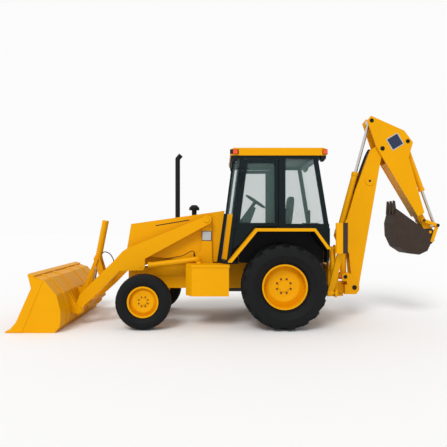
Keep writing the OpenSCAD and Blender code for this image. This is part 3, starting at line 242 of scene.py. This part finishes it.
# Pin places in the XZ plane
ARM_PIVOT = (-0.481, 1.686)
LIFT_BASE = (-0.636, 1.052)
LIFT_EYE = (-1.535, 0.939)
BOOM_FOOT = (2.012, 0.544)
BOOM_BASE = (1.858, 0.725)
BOOM_TURN, BOOM_LEN = 78.6, 2.408
STICK_TURN, STICK_LEN = -59.5, 1.647
BOOM_TIP = local(BOOM_FOOT, BOOM_TURN, (1, 0), BOOM_LEN)
CROWD_BASE = local(BOOM_FOOT, BOOM_TURN, (0.3501, 0.1674), BOOM_LEN)
CROWD_EYE = local(BOOM_TIP, STICK_TURN, (-0.3048, 0.0506), STICK_LEN)
CURL_BASE = local(BOOM_TIP, STICK_TURN, (0.0678, 0.2623), STICK_LEN)
CURL_ROCK = local(BOOM_TIP, STICK_TURN, (0.8566, -0.0064), STICK_LEN)
STICK_TIP = local(BOOM_TIP, STICK_TURN, (1, 0), STICK_LEN)
CURL_EYE_OUT, CURL_EYE_UP = 0.110, 0.114
CURL_EYE = (STICK_TIP[0] + CURL_EYE_OUT, STICK_TIP[1] + CURL_EYE_UP)

# Pin caps: body, place, half width where they sit, radius, slot
CAPS = (
    ("chassis", ARM_PIVOT, 0.600, 0.044, "machine_yellow"),
    ("chassis", LIFT_BASE, 0.600, 0.028, "machine_yellow"),
    ("arms", LIFT_EYE, 0.595, 0.026, "machine_yellow"),
    ("mast", BOOM_FOOT, 0.155, 0.040, "black_plastic"),
    ("mast", BOOM_BASE, 0.155, 0.032, "black_plastic"),
    ("rear_boom", BOOM_TIP, 0.155, 0.038, "black_plastic"),
    ("rear_boom", CROWD_BASE, 0.115, 0.030, "worn_brown"),
    ("stick", CROWD_EYE, 0.150, 0.036, "black_plastic"),
    ("stick", CURL_BASE, 0.155, 0.034, "black_plastic"),
    ("stick", CURL_ROCK, 0.151, 0.025, "worn_brown"),
    ("bucket_rocker", CURL_EYE, 0.146, 0.028, "black_plastic"),
)
CAP_OUT = 0.008
for i, (body, at, half, radius, slot) in enumerate(CAPS):
    caps = bmesh.new()
    for s in SIDES:
        add_disc(caps, (at[0], s * half, at[1]), (0, s, 0), radius, CAP_OUT)
    add(f"pin_caps_{i}", caps, LOOKS[slot], body)

# Wheel bolts: wheel, hub place, disc face, circle, bolt radius
WHEELS = (
    ("rear_wheel", (0.719, 0.665), 0.865, 0.114, 0.016),
    ("front_wheel", (-1.445, 0.428), 0.892, 0.076, 0.011),
)
BOLTS = 8
BOLT_OUT = 0.012
for side, s in SIDE_NAMES:
    for wheel, hub, face, circle, radius in WHEELS:
        body = f"{wheel}_{side}"
        bolts = bmesh.new()
        for k in range(BOLTS):
            a = 2 * math.pi * (k + 0.5) / BOLTS
            at = (hub[0] + circle * math.cos(a), s * face, hub[1] + circle * math.sin(a))
            add_disc(bolts, at, (0, s, 0), radius, BOLT_OUT, sides=6)
        add(f"bolts_{body}", bolts, LOOKS["worn_brown"], body)

# Hoses along the boom's front edge, up to the dipper, in shares of the boom's length
BOOM_ROUTE = ((0.655, 0.1295), (0.70, 0.1262), (0.78, 0.1140), (0.93, 0.0906), (0.985, 0.0760))
BOOM_HOSE_YS = (-0.030, 0.0, 0.030)
BOOM_HOSE_R = 0.012
route = [local(BOOM_FOOT, BOOM_TURN, share, BOOM_LEN) for share in BOOM_ROUTE]
for i, y in enumerate(BOOM_HOSE_YS):
    hose = bmesh.new()
    add_tube(hose, curve_through([(x, y, z) for x, z in route]), BOOM_HOSE_R)
    add(f"boom_hose_{i}", hose, LOOKS["black_plastic"], "rear_boom", smooth=True)

# Hoses on the lift cylinders, each with an upright fitting
LIFT_ROUTE = (
    (-0.682, 1.100), (-0.684, 1.160), (-0.705, 1.186), (-0.750, 1.176), (-0.860, 1.116),
    (-1.000, 1.086), (-1.100, 1.070), (-1.140, 1.050), (-1.147, 1.030))
LIFT_HOSE_Y, LIFT_HOSE_R = 0.5575, 0.006
FITTING_AT, FITTING_R, FITTING_H = (-0.682, 1.096), 0.012, 0.062
lift_hoses = bmesh.new()
for s in SIDES:
    y = s * LIFT_HOSE_Y
    add_tube(lift_hoses, curve_through([(x, y, z) for x, z in LIFT_ROUTE]), LIFT_HOSE_R)
    add_disc(lift_hoses, (FITTING_AT[0], y, FITTING_AT[1]), UP, FITTING_R, FITTING_H, sides=12)
add("lift_hoses", lift_hoses, LOOKS["black_plastic"], "lift_tubes", smooth=True)

# Hose that leaves the tilt cylinder
TILT_ROUTE = (
    (-2.312, -0.050, 1.118), (-2.235, -0.110, 1.146), (-2.135, -0.200, 1.122),
    (-2.060, -0.280, 1.050), (-2.040, -0.300, 0.985))
TILT_HOSE_R = 0.008
tilt_hose = bmesh.new()
add_tube(tilt_hose, curve_through(TILT_ROUTE), TILT_HOSE_R)
add("tilt_hose", tilt_hose, LOOKS["black_plastic"], "tilt_tube", smooth=True)

# Round boss on each boom cheek, with a dark disc on it that paints the shade in its hole
BOSS = local(BOOM_FOOT, BOOM_TURN, (0.760, 0.0389), BOOM_LEN)
BOOM_HALF = 0.115
BOSS_R, BOSS_OUT = 0.085, 0.010
HOLE_SHADE_R, HOLE_SHADE_OUT = 0.022, 0.002
boss = bmesh.new()
hole_shade = bmesh.new()
for s in SIDES:
    add_disc(boss, (BOSS[0], s * BOOM_HALF, BOSS[1]), (0, s, 0), BOSS_R, BOSS_OUT, sides=40)
    add_disc(hole_shade, (BOSS[0], s * (BOOM_HALF + BOSS_OUT), BOSS[1]), (0, s, 0), HOLE_SHADE_R, HOLE_SHADE_OUT)
add("boom_boss", boss, LOOKS["machine_yellow"], "rear_boom")
# Dark disc painted as the shade inside each boss's hole
add("boom_boss_hole_shade", hole_shade, LOOKS["worn_brown"], "rear_boom")

# Blank plates on loader towers and dipper cheeks: name, body, centre, y, turn, half, border, face
PLATES = (
    ("tower_plate", "chassis", (-0.484, 1.430), 0.500, 0, 0.080, LOOKS["dark_paint"], PLATE_GREY),
    ("stick_plate", "stick", (2.700, 3.020), 0.150, 31, 0.112, PLATE_GREY, PLATE_BLUE),
)
EDGE_T, FACE_T, FACE_SHARE = 0.003, 0.002, 0.88
for name, body, centre, y, turn, half, border, face in PLATES:
    top = y + EDGE_T
    add_pair(f"{name}_edge", square(centre, turn, half), y, top, border, body)
    add_pair(f"{name}_face", square(centre, turn, half * FACE_SHARE), top, top + FACE_T, face, body)

# Thin trim that is the same on both sides: name, body, slot, inner and outer face, outline
BUCKET_HALF = 1.120
BUCKET_EDGE_T = 0.006
PANELS = (
    # Stripe along the hood's flank
    ("hood_stripe", "chassis", "black_plastic", 0.444, 0.447,
     ((-1.320, 1.588), (-0.770, 1.680), (-0.770, 1.694), (-1.320, 1.602))),
    # Housings behind the roof's lamps and brackets under its corners
    ("lamp_case_front", "chassis", "black_plastic", 0.808, 0.816,
     ((-0.111, 2.715), (-0.111, 2.784), (0.024, 2.784), (0.024, 2.704))),
    ("lamp_case_rear", "chassis", "black_plastic", 0.808, 0.816,
     ((1.327, 2.704), (1.406, 2.704), (1.406, 2.784), (1.327, 2.784))),
    ("roof_foot_front", "chassis", "black_plastic", 0.795, 0.812,
     ((-0.086, 2.690), (-0.086, 2.640), (-0.060, 2.605), (-0.010, 2.600), (0.026, 2.690))),
    ("roof_foot_rear", "chassis", "black_plastic", 0.700, 0.808,
     ((1.300, 2.690), (1.312, 2.608), (1.350, 2.600), (1.384, 2.645), (1.384, 2.690))),
    # Black sheets painted as the shade in the wheel boxes: on the wall and under the deck
    ("wheel_box_wall_shade", "chassis", "black_plastic", 0.590, 0.593,
     ((0.030, 1.002), (0.030, 1.184), (0.299, 1.508), (1.148, 1.508), (1.338, 1.246),
      (1.392, 1.244), (1.392, 1.002))),
    ("wheel_box_top_shade", "chassis", "black_plastic", 0.593, 1.084,
     ((-0.066, 1.070), (0.297, 1.512), (1.150, 1.512), (1.342, 1.246), (1.337, 1.246),
      (1.148, 1.508), (0.299, 1.508), (-0.061, 1.070))),
    # Sills inside the doors' feet, over the fenders, and seals behind the doors' rear edges
    ("door_sills", "chassis", "dark_paint", 0.702, 0.732,
     ((-0.080, 1.126), (0.277, 1.558), (0.640, 1.558), (0.640, 1.620), (0.277, 1.620),
      (0.060, 1.356), (-0.080, 1.260))),
    ("door_seals", "chassis", "black_plastic", 0.704, 0.732,
     ((0.630, 1.622), (0.666, 1.622), (0.666, 2.630), (0.630, 2.630))),
    # Side plates on the frame rails, under the hood and under the cab
    ("hood_plates", "chassis", "machine_yellow", 0.321, 0.326,
     ((-1.655, 0.762), (-0.330, 0.762), (-0.330, 1.020), (-1.655, 1.120))),
    ("cab_plates", "chassis", "machine_yellow", 0.321, 0.326,
     ((-0.328, 0.762), (0.420, 0.762), (0.420, 0.985), (-0.328, 0.985))),
    # Doubled side edges of the loader bucket
    ("bucket_edges", "front_bucket", "machine_yellow", BUCKET_HALF, BUCKET_HALF + BUCKET_EDGE_T,
     ((-3.432, 0.006), (-3.215, 0.006), (-2.905, 0.770), (-3.122, 0.850), (-3.078, 0.664),
      (-3.302, 0.158))),
    # Arm rests of the seat
    ("arm_rests", "chassis", "black_plastic", 0.244, 0.290,
     ((0.530, 1.840), (0.900, 1.840), (0.930, 1.800), (0.960, 1.880), (0.545, 1.880))),
)
for name, body, slot, y0, y1, outline in PANELS:
    add_pair(name, outline, y0, y1, LOOKS[slot], body)

# Line up the loader bucket's back, and its top edge
BUCKET_BACK = (
    (-2.655, 0.090), (-2.640, 0.200), (-2.640, 0.330), (-2.700, 0.560), (-2.892, 0.789),
    (-3.040, 0.835))
BUCKET_TOP = (-3.127, 0.862)
RIM_T = 0.020

# Pieces that reach across the machine: name, body, slot, half width, outline
CROSSINGS = (
    # Seal between hood and cab
    ("hood_seal", "chassis", "black_plastic", 0.440,
     ((-0.316, 1.020), (-0.270, 1.020), (-0.172, 1.790), (-0.204, 1.790))),
    ("steering_console", "chassis", "black_plastic", 0.070,
     ((-0.020, 1.578), (0.226, 1.578), (0.345, 1.895), (0.262, 1.940), (0.100, 1.720))),
    # Bar along the top of the loader bucket's back
    ("bucket_rim", "front_bucket", "machine_yellow", BUCKET_HALF,
     band((BUCKET_BACK[-1], BUCKET_TOP), RIM_T)),
)
for name, body, slot, half, outline in CROSSINGS:
    across = bmesh.new()
    add_slab(across, outline, -half, half)
    add(name, across, LOOKS[slot], body)

# Straps down the loader bucket's back
STRAP_YS = (0.330, 0.800)
STRAP_HALF, STRAP_T = 0.045, 0.010
straps = bmesh.new()
for s in SIDES:
    for y in STRAP_YS:
        add_slab(straps, band(BUCKET_BACK, STRAP_T), s * (y - STRAP_HALF), s * (y + STRAP_HALF))
add("bucket_straps", straps, LOOKS["machine_yellow"], "front_bucket")

# Dark lining under the roof
LINING_LOW, LINING_HIGH = (-0.100, -0.795, 2.6865), (1.395, 0.795, 2.6895)
lining = bmesh.new()
add_box(lining, LINING_LOW, LINING_HIGH)
add("roof_lining", lining, LOOKS["black_plastic"], "chassis")

# Painted panels beside the windscreen's foot, which lean back with it
LEAN, LEAN_FOOT = 0.1297, 1.040
PANEL_FACING = (-0.884, 0.469)
PANEL_FACES = (0.004, 0.008)
PANEL_CORNERS = (
    (-0.237, 0.530, 1.060), (-0.142, 0.736, 1.060), (-0.142, 0.736, 1.780), (-0.237, 0.530, 1.780))
corner_panels = bmesh.new()
for s in SIDES:
    facing = Vector((PANEL_FACING[0], PANEL_FACING[1] * s, 0))
    corners = [Vector((x + LEAN * (z - LEAN_FOOT), s * y, z)) for x, y, z in PANEL_CORNERS]
    add_prism(corner_panels, [[c + facing * out for c in corners] for out in PANEL_FACES])
add("corner_panels", corner_panels, LOOKS["machine_yellow"], "chassis")

# Filler caps on the side tanks
FILLER_AT, FILLER_R, FILLER_H = (-0.598, 0.720, 0.998), 0.046, 0.034
fillers = bmesh.new()
for s in SIDES:
    add_disc(fillers, (FILLER_AT[0], s * FILLER_AT[1], FILLER_AT[2]), UP, FILLER_R, FILLER_H)
add("filler_caps", fillers, LOOKS["machine_yellow"], "chassis")

# Worn street pads on the stabilizers
STREET_PAD = ((1.580, 1.178), (1.652, 1.178), (1.652, 1.642), (1.580, 1.642))
STREET_PAD_Y = (1.028, 1.077)
for side, s in SIDE_NAMES:
    shoe = bmesh.new()
    add_slab(shoe, STREET_PAD, s * STREET_PAD_Y[0], s * STREET_PAD_Y[1])
    add(f"street_pad_{side}", shoe, LOOKS["worn_brown"], f"{side}_stabilizer")


def pillow(name, low, high, lean=0.0, bulge=0.06, cuts=11, power=5, flat=0.9):
    """Crowned cushion that fills a box, flat below, its sides drawn in between the corners."""
    half = (Vector(high) - Vector(low)) / 2
    middle = (Vector(high) + Vector(low)) / 2
    mesh = bmesh.new()
    bmesh.ops.create_cube(mesh, size=2)
    bmesh.ops.subdivide_edges(mesh, edges=mesh.edges[:], cuts=cuts, use_grid_fill=True)
    for v in mesh.verts:
        p = v.co
        scale = sum(abs(c) ** power for c in p) ** (-1 / power)
        q = p * scale
        q.x *= 1 - bulge * (1 - q.y * q.y) * abs(q.x)
        q.y *= 1 - bulge * (1 - q.x * q.x) * abs(q.y)
        if p.z < 0:
            q.z = max(q.z, -flat) / flat
        v.co = Vector((q.x * half.x, q.y * half.y, q.z * half.z))
    mesh.transform(Matrix.Translation(middle) @ Matrix.Rotation(math.radians(lean), 4, "Y"))
    piece = add(name, mesh, LOOKS["seat_cover"], "chassis", smooth=True)
    return piece


# Seat: a stand and two cushions in place of the plain one
SEAT_HALF = 0.240
STAND_LOW, STAND_HIGH = (0.560, -0.180, 1.040), (0.820, 0.180, 1.500)
CUSHION_LOW, CUSHION_HIGH = (0.480, -SEAT_HALF, 1.500), (0.900, SEAT_HALF, 1.612)
REST_LOW, REST_HIGH = (0.878, -SEAT_HALF, 1.605), (0.972, SEAT_HALF, 2.090)
REST_LEAN = 6.5
stand = bmesh.new()
add_box(stand, STAND_LOW, STAND_HIGH)
for piece in (
        add("seat_stand", stand, LOOKS["black_plastic"], "chassis"),
        pillow("seat_pad", CUSHION_LOW, CUSHION_HIGH),
        pillow("seat_back", REST_LOW, REST_HIGH, lean=REST_LEAN)):
    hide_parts("driver_seat")

# Studio: pale floor, sky light and one soft key light
FLOOR_HALF, FLOOR_Z = 60, -0.002
SKY, BACKDROP = 0.72, 0.97
WHITE = (1, 1, 1, 1)
KEY_ENERGY, KEY_ANGLE, KEY_AIM = 1.5, 24, (0.25, 0.75, -0.75)
floor_mesh = bmesh.new()
bmesh.ops.create_grid(floor_mesh, x_segments=1, y_segments=1, size=FLOOR_HALF)
floor_data = bpy.data.meshes.new("floor")
floor_mesh.to_mesh(floor_data)
floor_mesh.free()
floor = bpy.data.objects.new("floor", floor_data)
floor.location.z = FLOOR_Z
floor_data.materials.append(new_material("floor_white", FLOOR_RGB, FLOOR_ROUGH))
bpy.context.scene.collection.objects.link(floor)

world = bpy.data.worlds.new("studio")
bpy.context.scene.world = world
world.use_nodes = True
tree = world.node_tree
lit = tree.nodes["Background"]
lit.inputs["Color"].default_value = WHITE
lit.inputs["Strength"].default_value = SKY
seen = tree.nodes.new("ShaderNodeBackground")
seen.inputs["Color"].default_value = WHITE
seen.inputs["Strength"].default_value = BACKDROP
path = tree.nodes.new("ShaderNodeLightPath")
mix = tree.nodes.new("ShaderNodeMixShader")
shown = path.outputs["Is Camera Ray"]
for ray in ("Is Glossy Ray", "Is Transmission Ray"):
    either = tree.nodes.new("ShaderNodeMath")
    either.operation = "MAXIMUM"
    tree.links.new(shown, either.inputs[0])
    tree.links.new(path.outputs[ray], either.inputs[1])
    shown = either.outputs[0]
tree.links.new(shown, mix.inputs["Fac"])
tree.links.new(lit.outputs["Background"], mix.inputs[1])
tree.links.new(seen.outputs["Background"], mix.inputs[2])
tree.links.new(mix.outputs["Shader"], tree.nodes["World Output"].inputs["Surface"])

key = bpy.data.lights.new("key", "SUN")
key.energy = KEY_ENERGY
key.angle = math.radians(KEY_ANGLE)
lamp = bpy.data.objects.new("key", key)
lamp.rotation_euler = Vector(KEY_AIM).to_track_quat("-Z", "Y").to_euler()
bpy.context.scene.collection.objects.link(lamp)

# Camera square to the machine's left side
CAMERA_AT, LENS, SENSOR = (-0.212, -8.02, 1.63), 37.33, 36
view = bpy.data.cameras.new("camera")
view.sensor_width = SENSOR
view.lens = LENS
camera = bpy.data.objects.new("camera", view)
camera.location = CAMERA_AT
camera.rotation_euler = (math.radians(90), 0, 0)
bpy.context.scene.collection.objects.link(camera)
bpy.context.scene.camera = camera
bpy.context.scene.view_settings.view_transform = "Standard"
